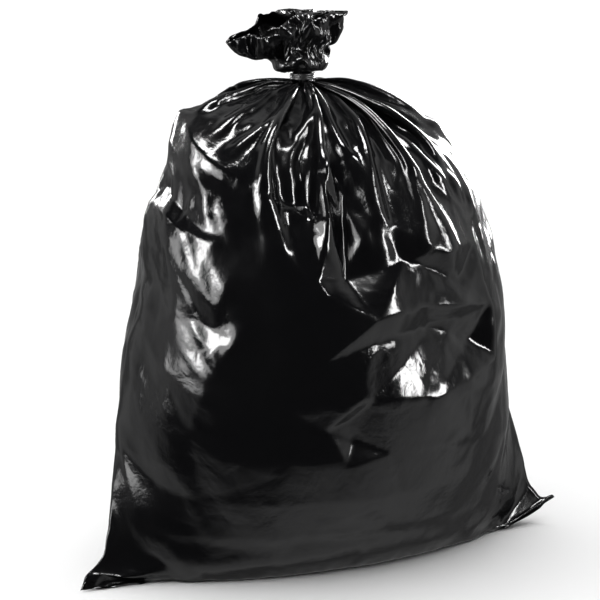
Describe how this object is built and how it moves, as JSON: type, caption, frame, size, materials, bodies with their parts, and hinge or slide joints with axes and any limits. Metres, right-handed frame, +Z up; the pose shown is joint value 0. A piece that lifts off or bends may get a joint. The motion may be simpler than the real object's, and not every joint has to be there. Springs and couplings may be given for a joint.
{
  "type": "filled tied refuse sack",
  "caption": "Filled black plastic refuse sack standing on its base, neck gathered and tied, mouth fanned out as a ruffle, bottom corners standing out as ears.",
  "frame": {"origin": "on the floor, under the middle of the sack's bounding box", "axes": "+Z up through the neck; +X along the bottom weld, from the flat ear to the lifted ear; -Y towards the front"},
  "size_m": [0.7, 0.3782, 0.7392],
  "materials": {
    "film": "glossy black polyethylene film, creased",
    "tie": "satin black"
  },
  "bodies": {
    "root": {"bag": "film", "neck_tie": "tie"}
  },
  "joints": []
}
